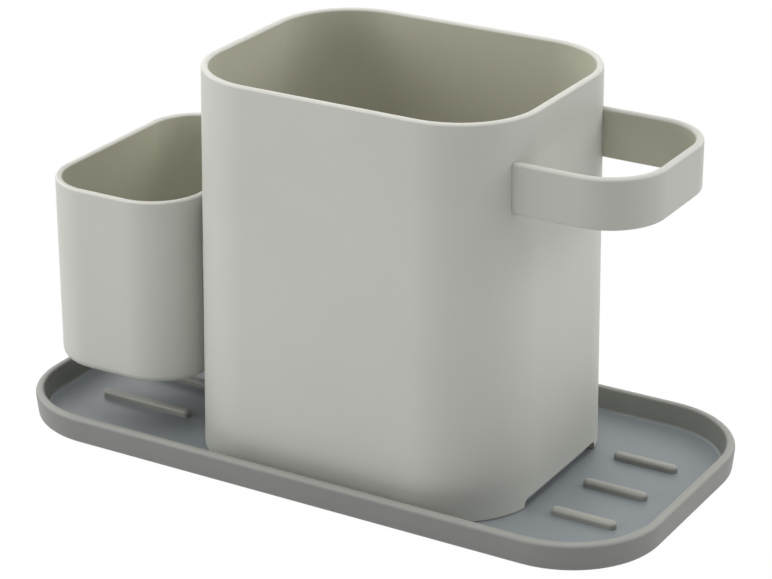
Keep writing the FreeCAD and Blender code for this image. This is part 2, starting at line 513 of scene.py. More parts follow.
class NodeDesk:
    """Adds and joins the nodes of one shader tree."""

    def __init__(self, tree: bpy.types.NodeTree) -> None:
        """Work on a tree, starting from no nodes."""
        self.tree = tree
        self.tree.nodes.clear()

    def feed(self, value: object, target: Socket) -> None:
        """Give an input another node's output or a plain value.

        Args:
            value: Output socket, number or colour.
            target: Input socket.
        """
        if isinstance(value, Socket):
            self.tree.links.new(value, target)
        else:
            target.default_value = value

    def add(
        self, kind: str, inputs: dict[str | int, object] | None = None, **settings: object
    ) -> bpy.types.Node:
        """Add a node.

        Args:
            kind: Node type, without the words ShaderNode in front.
            inputs: Sockets or plain values for its inputs, by name or number.
            settings: Properties of the node, such as its operation.

        Returns:
            The new node.
        """
        node = self.tree.nodes.new("ShaderNode" + kind)
        for name, value in settings.items():
            setattr(node, name, value)
        for name, value in (inputs or {}).items():
            self.feed(value, node.inputs[name])
        return node

    def position(self) -> Outputs:
        """Sockets with the X, Y and Z of the surface in the part's frame."""
        return self.add("SeparateXYZ", {0: self.add("TexCoord").outputs["Object"]}).outputs

    def math(self, operation: Op, first: object, second: object = 0.0) -> Socket:
        """Socket with what a math node works out from one or two sockets or plain numbers."""
        return self.add("Math", {0: first, 1: second}, operation=operation.value).outputs["Value"]

    def ramp(self, value: Socket, fade: Fade) -> Socket:
        """Map a value smoothly to between 0 and 1.

        Args:
            value: Socket to map.
            fade: Values that give 0 and 1.

        Returns:
            The mapped socket.
        """
        start, end = fade
        inputs = {"Value": value, "From Min": start, "From Max": end}
        return self.add("MapRange", inputs, interpolation_type="SMOOTHSTEP").outputs["Result"]

    def blend(self, share: Socket, first: object, second: object) -> Socket:
        """Blend two colours.

        Args:
            share: Socket with the share of the second colour.
            first: First colour or socket.
            second: Second colour or socket.

        Returns:
            The blended colour's socket.
        """
        node = self.add("Mix", {"Factor": share}, data_type="RGBA")
        colour_inputs = [socket for socket in node.inputs if socket.type == "RGBA"]
        for value, target in zip((first, second), colour_inputs):
            self.feed(value, target)
        return next(socket for socket in node.outputs if socket.type == "RGBA")


class ShaderGroup:
    """Shader node group, built on its first use and placed in each material with its own values."""

    NAME: ClassVar[str]
    INPUTS: ClassVar[dict[str, Kind]]
    OUTPUTS: ClassVar[dict[str, Kind]]

    @classmethod
    def place(cls, desk: NodeDesk, values: dict[str, object]) -> Outputs:
        """Place the group in a material.

        Args:
            desk: The material's tree.
            values: Values of the group's inputs.

        Returns:
            The sockets that the group puts out.
        """
        group = bpy.data.node_groups.get(cls.NAME)
        if group is None:
            group = cls._build()
        return desk.add("Group", values, node_tree=group).outputs

    @classmethod
    def _build(cls) -> bpy.types.NodeTree:
        """Build the group.

        Returns:
            The new node group.
        """
        tree = bpy.data.node_groups.new(cls.NAME, "ShaderNodeTree")
        for side, sockets in (("INPUT", cls.INPUTS), ("OUTPUT", cls.OUTPUTS)):
            for name, kind in sockets.items():
                tree.interface.new_socket(name=name, in_out=side, socket_type=kind.value)
        desk = NodeDesk(tree)
        given = tree.nodes.new("NodeGroupInput").outputs
        put_out = tree.nodes.new("NodeGroupOutput").inputs
        for name, value in cls._results(desk, given).items():
            desk.feed(value, put_out[name])
        return tree

    @classmethod
    def _results(cls, desk: NodeDesk, given: Outputs) -> dict[str, Socket]:
        """Sockets of the group's results by name, which each group works out in its own way."""
        raise NotImplementedError


class MouldedSkin(ShaderGroup):
    """Moulded surface: a slow drift of colour and gloss under a fine grain."""

    NAME = "moulded_skin"
    INPUTS = {
        "Base": Kind.COLOUR,
        "Drift": Kind.COLOUR,
        "Drift Size": Kind.NUMBER,
        "Grain Size": Kind.NUMBER,
        "Roughness": Kind.NUMBER,
        "Roughness Swing": Kind.NUMBER,
    }
    OUTPUTS = {"Color": Kind.COLOUR, "Roughness": Kind.NUMBER, "Height": Kind.NUMBER}
    DRIFT_FADE: ClassVar[Fade] = (0.3, 0.7)
    DRIFT_DETAIL: ClassVar[float] = 2.0
    GRAIN_DETAIL: ClassVar[float] = 3.0
    GRAIN_MIDDLE: ClassVar[float] = 0.5

    @classmethod
    def _results(cls, desk: NodeDesk, given: Outputs) -> dict[str, Socket]:
        """Colour, roughness and height of grain over the surface.

        Args:
            desk: The group's tree.
            given: Sockets of the group's inputs.

        Returns:
            The results by name.
        """
        place = desk.add("TexCoord").outputs["Object"]
        slow = cls._noise(desk, place, given["Drift Size"], cls.DRIFT_DETAIL)
        grain = cls._noise(desk, place, given["Grain Size"], cls.GRAIN_DETAIL)
        above_middle = desk.math(Op.SUBTRACT, grain, cls.GRAIN_MIDDLE)
        swing = desk.math(Op.MULTIPLY, above_middle, given["Roughness Swing"])
        return {
            "Color": desk.blend(desk.ramp(slow, cls.DRIFT_FADE), given["Base"], given["Drift"]),
            "Roughness": desk.math(Op.ADD, given["Roughness"], swing),
            "Height": grain,
        }

    @staticmethod
    def _noise(desk: NodeDesk, place: Socket, size: Socket, detail: float) -> Socket:
        """Noise that follows a place, with features of a size and a number of finer layers."""
        scale = desk.math(Op.DIVIDE, 1.0, size)
        return desk.add("TexNoise", {"Vector": place, "Scale": scale, "Detail": detail}).outputs[0]


class Facing(ShaderGroup):
    """How far a surface faces up, and away from an upright middle line."""

    NAME = "facing"
    INPUTS = {"Middle X": Kind.NUMBER}
    OUTPUTS = {"Upward": Kind.NUMBER, "Outward": Kind.NUMBER}

    @classmethod
    def _results(cls, desk: NodeDesk, given: Outputs) -> dict[str, Socket]:
        """Shares of the normal that point up and outwards.

        Args:
            desk: The group's tree.
            given: Sockets of the group's inputs.

        Returns:
            The results by name.
        """
        normal = desk.add("NewGeometry").outputs["Normal"]
        place = desk.position()
        along = desk.math(Op.SUBTRACT, place["X"], given["Middle X"])
        away = desk.add("CombineXYZ", {"X": along, "Y": place["Y"]}).outputs["Vector"]
        outwards = desk.add("VectorMath", {0: away}, operation="NORMALIZE").outputs["Vector"]
        agreement = desk.add("VectorMath", {0: outwards, 1: normal}, operation="DOT_PRODUCT")
        return {
            "Upward": desk.add("SeparateXYZ", {0: normal}).outputs["Z"],
            "Outward": agreement.outputs["Value"],
        }


@dataclass(frozen=True)
class MouldedFinish:
    """Moulded plastic or rubber: its colour, its slow drift, its gloss and its grain."""

    name: str
    base: Srgb
    drift: Srgb
    drift_size: float
    roughness: float
    roughness_swing: float
    grain_size: float
    grain_depth: float
    bump_strength: float
    ior: float

    def material(self) -> Skin:
        """Make the material.

        Returns:
            The new material.
        """
        material = bpy.data.materials.new(self.name)
        material.use_nodes = True
        desk = NodeDesk(material.node_tree)
        values = {
            "Base": linear(self.base),
            "Drift": linear(self.drift),
            "Drift Size": self.drift_size,
            "Grain Size": self.grain_size,
            "Roughness": self.roughness,
            "Roughness Swing": self.roughness_swing,
        }
        skin = MouldedSkin.place(desk, values)
        bump = {"Strength": self.bump_strength, "Distance": self.grain_depth, "Height": skin["Height"]}
        colour, roughness = self._zones(desk, skin)
        looks = {
            "Base Color": colour,
            "Roughness": roughness,
            "IOR": self.ior,
            "Normal": desk.add("Bump", bump).outputs["Normal"],
        }
        shader = desk.add("BsdfPrincipled", looks)
        desk.add("OutputMaterial", {"Surface": shader.outputs["BSDF"]})
        return material

    def _zones(self, desk: NodeDesk, skin: Outputs) -> tuple[Socket, Socket]:
        """Colour and roughness over the piece, which here are the bare skin's."""
        return skin["Color"], skin["Roughness"]


@dataclass(frozen=True)
class CaddyFinishAndPaintedLight(MouldedFinish):
    """Caddy plastic painted warmer on the faces that look into the piece, a painted shade tint, and paler
    on its upper edges, a painted highlight.
    """

    INWARD: ClassVar[Fade] = (-0.05, -0.4)
    UPRIGHT: ClassVar[Fade] = (0.6, 0.1)
    UPPER_EDGE_HIGHLIGHT: ClassVar[Fade] = (0.05, 0.6)

    # Warm tint of the faces that look into the piece: painted shade
    inner: Srgb
    # Pale colour of the faces that look up: a painted highlight
    edge: Srgb
    middle_x: float

    def _zones(self, desk: NodeDesk, skin: Outputs) -> tuple[Socket, Socket]:
        """Part the inside, painted in a warm shade tint, and the upper edges, painted as a highlight, from
        the outer walls.

        Args:
            desk: The material's tree.
            skin: Sockets of the bare skin.

        Returns:
            Colour and roughness over the piece.
        """
        facing = Facing.place(desk, {"Middle X": self.middle_x})
        # Painted shade: the faces that look into the piece take the warm inner tint
        inward = desk.ramp(facing["Outward"], self.INWARD)
        inside = desk.math(Op.MULTIPLY, inward, desk.ramp(facing["Upward"], self.UPRIGHT))
        walls = desk.blend(inside, skin["Color"], linear(self.inner))
        # Painted highlight: the faces that look up turn paler
        painted_highlight = desk.ramp(facing["Upward"], self.UPPER_EDGE_HIGHLIGHT)
        return desk.blend(painted_highlight, walls, linear(self.edge)), skin["Roughness"]


@dataclass(frozen=True)
class TrayFinishAndPaintedLight(MouldedFinish):
    """Tray plastic that is paler from the lip inwards and on its ribs, painted light and a painted
    highlight, with a smoother and cooler floor.
    """

    FAR_OUT: ClassVar[Fade] = (0.862, 0.884)
    OUTWARD: ClassVar[Fade] = (0.3, 0.5)
    STEEP: ClassVar[Fade] = (0.8, 0.2)
    UNDERSIDE: ClassVar[Fade] = (-0.2, -0.6)
    RIB_HIGHLIGHT_FACE: ClassVar[Fade] = (0.1, 0.4)
    FLOOR_FACE: ClassVar[Fade] = (0.15, 0.6)

    # Paler colour from the lip inwards: painted light on the lip and the inner faces
    inside: Srgb
    # Paler colour of the ribs' upward faces: a painted highlight
    rib_highlight: Srgb
    floor: Srgb
    floor_roughness: float
    floor_height: float
    floor_fade: float
    rib_top: float
    half_length: float
    half_width: float

    def _zones(self, desk: NodeDesk, skin: Outputs) -> tuple[Socket, Socket]:
        """Part the inside and the ribs, painted paler as painted light, and the floor from the outer wall.

        Args:
            desk: The material's tree.
            skin: Sockets of the bare skin.

        Returns:
            Colour and roughness over the tray.
        """
        place = desk.position()
        facing = Facing.place(desk, {"Middle X": 0.0})

        def lying_by(height: float, fade: Fade) -> Socket:
            """Mask of the faces that look up and lie no higher than a height."""
            low = desk.ramp(place["Z"], (height + self.floor_fade, height))
            return desk.math(Op.MULTIPLY, low, desk.ramp(facing["Upward"], fade))

        # Painted light: all but the outer wall and the underside take the paler inside colour
        walls = desk.blend(self._outside(desk, place, facing), linear(self.inside), skin["Color"])
        # Painted highlight: faces that look up and lie no higher than the ribs' tops turn paler
        rib_highlight_mask = lying_by(self.rib_top, self.RIB_HIGHLIGHT_FACE)
        on_floor = lying_by(self.floor_height, self.FLOOR_FACE)
        raised = desk.blend(rib_highlight_mask, walls, linear(self.rib_highlight))
        colour = desk.blend(on_floor, raised, linear(self.floor))
        moulded = desk.math(Op.MULTIPLY, desk.math(Op.SUBTRACT, 1.0, on_floor), skin["Roughness"])
        polished = desk.math(Op.MULTIPLY, on_floor, self.floor_roughness)
        return colour, desk.math(Op.ADD, moulded, polished)

    def _outside(self, desk: NodeDesk, place: Outputs, facing: Outputs) -> Socket:
        """Mask of the underside and of the wall outside the lip, by how far out it lies and how it faces.

        Args:
            desk: The material's tree.
            place: Sockets of the surface's place.
            facing: Sockets that say which way it faces.

        Returns:
            Socket that is 1 on the outer wall and the underside.
        """
        along = desk.math(Op.DIVIDE, desk.math(Op.ABSOLUTE, place["X"]), self.half_length)
        across = desk.math(Op.DIVIDE, desk.math(Op.ABSOLUTE, place["Y"]), self.half_width)
        far_out = desk.ramp(desk.math(Op.MAXIMUM, along, across), self.FAR_OUT)
        outward = desk.math(Op.MULTIPLY, far_out, desk.ramp(facing["Outward"], self.OUTWARD))
        outer_wall = desk.math(Op.MULTIPLY, outward, desk.ramp(facing["Upward"], self.STEEP))
        return desk.math(Op.MAXIMUM, outer_wall, desk.ramp(facing["Upward"], self.UNDERSIDE))


@dataclass
class TallCaddy:
    """Tall caddy: a shell on a drained skirt, with the hanger loop and the cloth rail's two seats."""

    low: Vector
    high: Vector
    corner: float = 32.4 * MM
    draft: float = 1.8 * MM
    wall: float = 2.6 * MM
    floor_rise: float = 5.2 * MM
    floor_thickness: float = 2.4 * MM
    floor_round: float = 4.0 * MM
    foot_round: float = 0.7 * MM
    rim_round: float = 1.144 * MM
    notch_width: float = 56.0 * MM
    notch_height: float = 4.0 * MM
    notch_round: float = 3.0 * MM
    slot_length: float = 24.0 * MM
    slot_width: float = 4.0 * MM
    slot_pitch_x: float = 34.0 * MM
    slot_pitch_y: float = 17.0 * MM
    slot_columns: int = 3
    slot_rows: int = 4
    slot_round: float = 0.4 * MM
    hanger_depth: float = 7.5 * MM
    hanger_width: float = 60.0 * MM
    hanger_wall: float = 3.2 * MM
    hanger_low: float = 28.5 * MM
    hanger_high: float = 78.0 * MM
    hanger_root: float = 2.1 * MM
    hanger_round: float = 1.28 * MM

    @property
    def left(self) -> float:
        """X of the left wall's outer face, without the hanger."""
        return self.low.x + self.hanger_depth

    @property
    def outline(self) -> Outline:
        """Plan of the shell's outer face at its foot, where it is widest."""
        return Outline.between(Vector((self.left, self.low.y, 0.0)), self.high, self.corner)

    @property
    def floor_top(self) -> float:
        """Height of the floor inside the caddy."""
        return self.low.z + self.floor_rise + self.floor_thickness

    def build(self, rail: "ClothRail") -> Piece:
        """Model the caddy.

        Args:
            rail: The cloth rail that is let into the right wall.

        Returns:
            The finished mesh object.
        """
        shell = self._shell()
        combine(shell, self._notch(), Join.CUT)
        combine(shell, self._slots(), Join.CUT)
        self._soften_slots(shell)
        combine(shell, rail.seats(self.outline), Join.CUT)
        combine(shell, self._hanger(), Join.FUSE)
        even_normals(shell)
        return shell

    def dress(self, shell: Piece, skin: Skin) -> None:
        """Put the caddy in its node's place."""
        deliver(shell, "main_caddy", Body.CADDY, skin)

    def _shell(self) -> Piece:
        """Open shell with a raised floor and rounded rim.

        Returns:
            The shell.
        """
        shell = raise_block("tall_caddy", self.outline, self.low.z, self.high.z)
        draw_in(shell, self.high.z, self.outline, self.draft)
        round_edges(shell, at_height(self.low.z), self.foot_round, SMALL_STEPS)
        hollow(shell, self.high.z, self.wall, self.floor_top - self.high.z)
        round_edges(shell, at_height(self.high.z), self.rim_round, ROUND_STEPS)
        round_edges(shell, at_height(self.floor_top), self.floor_round, ROUND_STEPS)
        hollow(shell, self.low.z, self.wall - self.foot_round, self.floor_rise)
        return shell

    def _notch(self) -> Piece:
        """Cutter for the drain gaps in the bottom edge of both end walls.

        Returns:
            The cutter.
        """
        top = self.low.z + self.notch_height
        low = Vector((self.left - OVERRUN, -self.notch_width / 2, 0.0))
        high = Vector((self.high.x + OVERRUN, self.notch_width / 2, 0.0))
        cutter = raise_block("notch", Outline.between(low, high), self.low.z - OVERRUN, top)
        for side in (low.y, high.y):
            round_edges(cutter, on_line(side, top), self.notch_round, ROUND_STEPS)
        return cutter

    def _slots(self) -> Piece:
        """Cutter for the drain slots in the floor.

        Returns:
            The cutter.
        """
        first_x = self.outline.x + evenly_spaced(self.slot_columns, self.slot_pitch_x)[0]
        first_y = evenly_spaced(self.slot_rows, self.slot_pitch_y)[0]
        outline = Outline.stadium(first_x, first_y, self.slot_length, self.slot_width)
        low = self.low.z + self.floor_rise - OVERRUN
        cutter = raise_block("slots", outline, low, self.floor_top + OVERRUN, ROUND_STEPS)
        repeat_mesh(cutter, Vector((0.0, self.slot_pitch_y, 0.0)), self.slot_rows)
        repeat_mesh(cutter, Vector((self.slot_pitch_x, 0.0, 0.0)), self.slot_columns)
        return cutter

    def _soften_slots(self, shell: Piece) -> None:
        """Round the upper edges of the drain slots.

        Args:
            shell: The caddy's shell.
        """
        slots = [
            Outline.stadium(self.outline.x + column, row, self.slot_length, self.slot_width)
            for column in evenly_spaced(self.slot_columns, self.slot_pitch_x)
            for row in evenly_spaced(self.slot_rows, self.slot_pitch_y)
        ]

        def on_slot(point: Vector) -> bool:
            """Whether a point lies on the upper edge of a slot."""
            return same(point.z, self.floor_top) and any(slot.carries(point) for slot in slots)

        round_edges(shell, on_slot, self.slot_round, SMALL_STEPS)

    def _hanger(self) -> Piece:
        """Loop on the left wall that the small caddy's hook drops into.

        Returns:
            The loop, its two ends inside the wall.
        """
        half = self.hanger_width / 2
        low = Vector((self.low.x, -half, 0.0))
        high = Vector((self.left + self.hanger_root, half, 0.0))
        loop = raise_block("hanger", Outline.between(low, high), self.hanger_low, self.hanger_high)
        gap_low = Vector((self.low.x + self.hanger_wall, self.hanger_wall - half, 0.0))
        gap_high = Vector((high.x + OVERRUN, half - self.hanger_wall, 0.0))
        gap = raise_block(
            "hanger_gap",
            Outline.between(gap_low, gap_high),
            self.hanger_low - OVERRUN,
            self.hanger_high + OVERRUN,
        )
        combine(loop, gap, Join.CUT)
        for height in (self.hanger_low, self.hanger_high):
            round_edges(loop, at_height(height), self.hanger_round, SMALL_STEPS)
        return loop


@dataclass
class ClothRail:
    """Cloth rail: a flat band bent into a loop, its two ends let into the tall caddy's right wall.

    The depth of the two seats counts from the plan of the caddy's foot, above which its wall leans in.
    The root is how far the band, and the block that stops it, run on past what stays.
    """

    low: Vector
    high: Vector
    thickness: float = 3.0 * MM
    corner: float = 22.3 * MM
    edge_round: float = 1.26 * MM
    depth: float = 3.0 * MM
    clearance: float = 0.12 * MM
    root: float = 30.0 * MM

    def build(self, caddy: Outline) -> Piece:
        """Model the rail.

        Args:
            caddy: Plan of the tall caddy's outer face.

        Returns:
            The finished mesh object.
        """
        band = self._band("rail_band", 0.0)
        combine(band, self._stop(caddy, self.depth - self.clearance), Join.CUT)
        even_normals(band)
        return band

    def dress(self, band: Piece, skin: Skin) -> None:
        """Put the rail in its node's place."""
        deliver(band, "cloth_rail", Body.CADDY, skin)

    def seats(self, caddy: Outline) -> Piece:
        """Cutter for the rail's two seats in the caddy wall.

        Args:
            caddy: Plan of the tall caddy's outer face.

        Returns:
            The cutter.
        """
        band = self._band("rail_seats", self.clearance)
        combine(band, self._stop(caddy, self.depth), Join.CUT)
        return band

    def _stop(self, caddy: Outline, depth: float) -> Piece:
        """Block that stops the band at a depth in the caddy wall."""
        outline = caddy.drawn_in(depth)
        return raise_block("rail_stop", outline, self.low.z - self.root, self.high.z + self.root)

    def _band(self, name: str, extra: float) -> Piece:
        """Closed band of the rail, its left end inside the caddy.

        Args:
            name: Name of the new object.
            extra: Growth all round.

        Returns:
            The band.
        """
        low = Vector((self.low.x - self.root, self.low.y - extra, 0.0))
        high = Vector((self.high.x + extra, self.high.y + extra, 0.0))
        base = self.low.z - extra
        top = self.high.z + extra
        outline = Outline.between(low, high, self.corner + extra)
        inner = outline.drawn_in(self.thickness + 2 * extra)
        band = raise_block(name, outline, base, top)
        combine(band, raise_block("rail_hole", inner, base - OVERRUN, top + OVERRUN), Join.CUT)
        for height in (base, top):
            round_edges(band, at_height(height), self.edge_round, ROUND_STEPS)
        return band


@dataclass
class SmallCaddy:
    """Small caddy: a shell with a drained floor, a recess over the hanger and a hook inside it."""

    low: Vector
    high: Vector
    corner: float = 21.8 * MM
    wall: float = 2.5 * MM
    floor_thickness: float = 2.5 * MM
    base_round: float = 3.6 * MM
    floor_round: float = 2.5 * MM
    rim_round: float = 1.1 * MM
    slot_length: float = 26.0 * MM
    slot_width: float = 4.0 * MM
    slot_pitch: float = 18.0 * MM
    slot_rows: int = 4
    recess_depth: float = 7.8 * MM
    recess_width: float = 60.8 * MM
    recess_top: float = 78.0 * MM
    hook_thickness: float = 3.2 * MM
    hook_width: float = 48.0 * MM
    hook_drop: float = 16.0 * MM
    hook_round: float = 1.28 * MM

    @property
    def outline(self) -> Outline:
        """Plan of the shell's outer face."""
        return Outline.between(self.low, self.high, self.corner)

    @property
    def floor_top(self) -> float:
        """Height of the floor inside the caddy."""
        return self.low.z + self.floor_thickness

    def build(self) -> Piece:
        """Model the small caddy.

        Returns:
            The finished mesh object.
        """
        shell = self._shell()
        combine(shell, self._recess_walls(), Join.FUSE)
        combine(shell, self._recess(), Join.CUT)
        combine(shell, self._hook(), Join.FUSE)
        combine(shell, self._slots(), Join.CUT)
        even_normals(shell)
        return shell

    def dress(self, shell: Piece, skin: Skin) -> None:
        """Put the small caddy in its node's place."""
        deliver(shell, "small_caddy", Body.SMALL_CADDY, skin)

    def _shell(self) -> Piece:
        """Open shell with rounded rim and base.

        Returns:
            The shell.
        """
        inner = self.outline.drawn_in(self.wall)
        shell = raise_block("small_caddy_shell", self.outline, self.low.z, self.high.z)
        round_edges(shell, at_height(self.low.z), self.base_round, ROUND_STEPS)
        hollow(shell, self.high.z, self.wall, self.floor_top - self.high.z)
        round_edges(shell, at_height(self.high.z), self.rim_round, ROUND_STEPS)
        round_edges(
            shell,
            lambda point: same(point.z, self.floor_top) and inner.carries(point),
            self.floor_round,
            ROUND_STEPS,
        )
        return shell

    def _back_block(
        self, name: str, depth: float, width: float, reach: float, low: float, top: float
    ) -> Piece:
        """Block against the back wall.

        Args:
            name: Name of the new object.
            depth: How far it stands into the caddy.
            width: Its width along Y.
            reach: How far it stands out of the back wall's outer face.
            low: Height of its foot.
            top: Height of its top.

        Returns:
            The block.
        """
        block_low = Vector((self.high.x - depth, -width / 2, 0.0))
        block_high = Vector((self.high.x + reach, width / 2, 0.0))
        return raise_block(name, Outline.between(block_low, block_high), low, top)

    def _recess_walls(self) -> Piece:
        """Walls and roof round the recess, rooted in the back wall and the floor.

        Returns:
            The block that the recess is cut from.
        """
        depth = self.recess_depth + self.wall
        width = self.recess_width + 2 * self.wall
        low = self.low.z + self.floor_thickness / 2
        top = self.recess_top + self.wall
        return self._back_block("recess_walls", depth, width, -self.wall / 2, low, top)

    def _recess(self) -> Piece:
        """Cutter for the space that the hanger takes up.

        Returns:
            The cutter.
        """
        low = self.low.z - OVERRUN
        return self._back_block(
            "recess", self.recess_depth, self.recess_width, OVERRUN, low, self.recess_top
        )

    def _hook(self) -> Piece:
        """Tongue that hangs from the recess's roof into the hanger loop.

        Returns:
            The tongue, rooted in the roof.
        """
        tip = self.recess_top - self.hook_drop
        root = self.recess_top + self.wall / 2
        tongue = self._back_block(
            "hook", self.hook_thickness, self.hook_width, -SAME_PLACE, tip, root
        )
        round_edges(tongue, at_height(tip), self.hook_round, SMALL_STEPS)
        return tongue

    def _slots(self) -> Piece:
        """Cutter for the drain slots in the floor.

        Returns:
            The cutter.
        """
        middle_x = (self.low.x + self.high.x - self.recess_depth) / 2
        first_y = evenly_spaced(self.slot_rows, self.slot_pitch)[0]
        outline = Outline.stadium(middle_x, first_y, self.slot_length, self.slot_width)
        low = self.low.z - OVERRUN
        cutter = raise_block("small_slots", outline, low, self.floor_top + OVERRUN, ROUND_STEPS)
        repeat_mesh(cutter, Vector((0.0, self.slot_pitch, 0.0)), self.slot_rows)
        return cutter


@dataclass
class DripTray:
    """Drip tray: a shallow drafted pan with drain ribs, a raised seat for the caddy and foot sockets."""

    low: Vector
    high: Vector
    skirt: Outline
    feet: list[Box]
    corner: float = 36.3 * MM
    wall: float = 3.4 * MM
    floor_thickness: float = 1.5 * MM
    draft: float = 0.9 * MM
    base_round: float = 1.8 * MM
    floor_round: float = 1.0 * MM
    lip_outer_round: float = 2.04 * MM
    lip_inner_round: float = 0.85 * MM
    lip_inner_reach: float = 0.34 * MM
    rib_width: float = 3.8 * MM
    rib_height: float = 2.8 * MM
    rib_pitch: float = 25.4 * MM
    rib_rows: int = 3
    rib_round: float = 1.52 * MM
    right_rib_x: float = 99.6 * MM
    right_rib_length: float = 25.4 * MM
    left_rib_x: float = -88.7 * MM
    left_rib_length: float = 40.0 * MM
    seat_inset: float = 3.1 * MM
    seat_slope: float = 1.6 * MM
    seat_height: float = 2.8 * MM
    seat_round: float = 0.7 * MM
    socket_clearance: float = 0.15 * MM

    @property
    def height(self) -> float:
        """Height from the underside to the lip."""
        return self.high.z - self.low.z

    @property
    def floor_top(self) -> float:
        """Height of the tray's floor."""
        return self.low.z + self.floor_thickness

    @property
    def root(self) -> float:
        """Height inside the floor at which the seat and the ribs start."""
        return self.floor_top - self.floor_thickness / 2

    @property
    def rib_top(self) -> float:
        """Height of the drain ribs' tops."""
        return self.floor_top + self.rib_height

    @property
    def outline(self) -> Outline:
        """Plan of the lip before it is rounded, where the drafted wall would reach its full size.

        Returns:
            The outline.
        """
        loss = self.draft * self.lip_outer_round / self.height
        spread = Vector((loss, loss, 0.0))
        return Outline.between(self.low - spread, self.high + spread, self.corner)

    def build(self) -> Piece:
        """Model the tray.

        Returns:
            The finished mesh object.
        """
        pan = self._pan()
        combine(pan, self._seat(), Join.FUSE)
        combine(pan, self._seat_hollow(), Join.CUT)
        combine(pan, self._ribs("right_ribs", self.right_rib_x, self.right_rib_length), Join.FUSE)
        combine(pan, self._ribs("left_ribs", self.left_rib_x, self.left_rib_length), Join.FUSE)
        for foot_low, foot_high in self.feet:
            combine(pan, self._socket(foot_low, foot_high), Join.CUT)
        even_normals(pan)
        return pan

    def dress(self, pan: Piece, skin: Skin) -> None:
        """Put the tray in its node's place."""
        deliver(pan, "drip_tray", Body.TRAY, skin)

    def _pan(self) -> Piece:
        """Drafted pan with a rounded lip.

        Returns:
            The pan.
        """
        rim = self.high.z
        inner = self.outline.drawn_in(self.wall)
        depth = rim - self.floor_top

        def on_floor_edge(point: Vector) -> bool:
            """Whether a point lies where the floor meets the wall."""
            return same(point.z, self.floor_top) and inner.distance(point) < SAME_PLACE

        def on_outer_lip(point: Vector) -> bool:
            """Whether a point lies on the outer edge of the lip."""
            return same(point.z, rim) and self.outline.distance(point) > -SAME_PLACE

        def on_inner_lip(point: Vector) -> bool:
            """Whether a point lies on the inner edge of the lip."""
            return same(point.z, rim) and inner.distance(point) < self.lip_inner_reach

        pan = raise_block("tray_pan", self.outline, self.low.z, rim)
        draw_in(pan, self.low.z, self.outline, self.draft)
        round_edges(pan, at_height(self.low.z), self.base_round, ROUND_STEPS)
        hollow(pan, rim, self.wall, -depth)
        draw_in(pan, self.floor_top, inner, self.draft * depth / self.height)
        round_edges(pan, on_floor_edge, self.floor_round, ROUND_STEPS)
        round_edges(pan, on_outer_lip, self.lip_outer_round, ROUND_STEPS)
        round_edges(pan, on_inner_lip, self.lip_inner_round, SMALL_STEPS)
        return pan

    def _seat(self) -> Piece:
        """Raised seat with sloping sides that stands just inside the tall caddy's skirt.

        Returns:
            The seat, rooted in the floor.
        """
        top = self.floor_top + self.seat_height
        line = self.skirt.drawn_in(self.seat_inset)
        seat = raise_block("seat", line, self.root, self.floor_top)
        pick_faces(seat, level_at(self.floor_top))
        extrude(self.seat_height)
        bpy.ops.object.mode_set(mode="OBJECT")
        draw_in(seat, top, line, self.seat_slope)
        round_edges(seat, at_height(top), self.seat_round, SMALL_STEPS)
        return seat

    def _seat_hollow(self) -> Piece:
        """Cutter for the space under the seat."""
        outline = self.skirt.drawn_in(self.seat_inset + self.seat_slope + self.floor_thickness)
        return raise_block("seat_hollow", outline, self.low.z - OVERRUN, self.low.z + self.seat_height)

    def _ribs(self, name: str, x: float, length: float) -> Piece:
        """Row of drain ribs: low bars with round ends and rounded tops.

        Args:
            name: Name of the new object.
            x: Middle of the ribs.
            length: Length of each rib.

        Returns:
            The ribs, rooted in the floor.
        """
        first_y = evenly_spaced(self.rib_rows, self.rib_pitch)[0]
        outline = Outline.stadium(x, first_y, length, self.rib_width)
        ribs = raise_block(name, outline, self.root, self.rib_top, 2 * ROUND_STEPS)
        round_edges(ribs, at_height(self.rib_top), self.rib_round, ROUND_STEPS)
        repeat_mesh(ribs, Vector((0.0, self.rib_pitch, 0.0)), self.rib_rows)
        return ribs

    def _socket(self, foot_low: Vector, foot_high: Vector) -> Piece:
        """Cutter for the socket that a foot is pressed into.

        Args:
            foot_low: Lowest corner of the foot.
            foot_high: Highest corner of the foot.

        Returns:
            The cutter.
        """
        across = foot_high.x - foot_low.x + 2 * self.socket_clearance
        middle = (foot_low + foot_high) / 2
        outline = Outline.stadium(middle.x, middle.y, across, across)
        return raise_block("socket", outline, foot_low.z - OVERRUN, foot_high.z)


@dataclass
class Feet:
    """Four non-slip rubber feet, whose CAD nodes stay and take a rubber skin."""

    nodes: tuple[str, ...] = (
        "front_left_foot",
        "front_right_foot",
        "rear_left_foot",
        "rear_right_foot",
    )

    def boxes(self) -> list[Box]:
        """Boxes of the four feet."""
        return [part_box(node) for node in self.nodes]

    def dress(self, nodes: dict[str, Piece], skin: Skin) -> None:
        """Give the feet their skin.

        Args:
            nodes: The frame's CAD objects by name.
            skin: The rubber.
        """
        for name in self.nodes:
            wear(nodes[name], skin)
            LOG.info("%s: rubber skin on its CAD node", name)


@dataclass(frozen=True)
class SoftBox:
    """Rectangular area lamp that faces the object, by its bearing from the front and its elevation."""

    name: str
    azimuth: float
    elevation: float
    power: float
    width: float = 1.0
    height: float = 1.0
    distance: float = 1.5

    def hang(self, aim: Vector) -> None:
        """Hang the lamp.

        Args:
            aim: Point that it faces.
        """
        turn = math.radians(self.azimuth)
        rise = math.radians(self.elevation)
        level = math.cos(rise)
        away = Vector((math.sin(turn) * level, -math.cos(turn) * level, math.sin(rise)))
        data = bpy.data.lights.new(self.name, "AREA")
        data.shape = "RECTANGLE"
        data.size = self.width
        data.size_y = self.height
        data.energy = self.power
        lamp = bpy.data.objects.new(self.name, data)
        lamp.location = aim + away * self.distance
        lamp.rotation_euler = (-away).to_track_quat("-Z", "Y").to_euler()
        lamp.visible_camera = False
        bpy.context.scene.collection.objects.link(lamp)


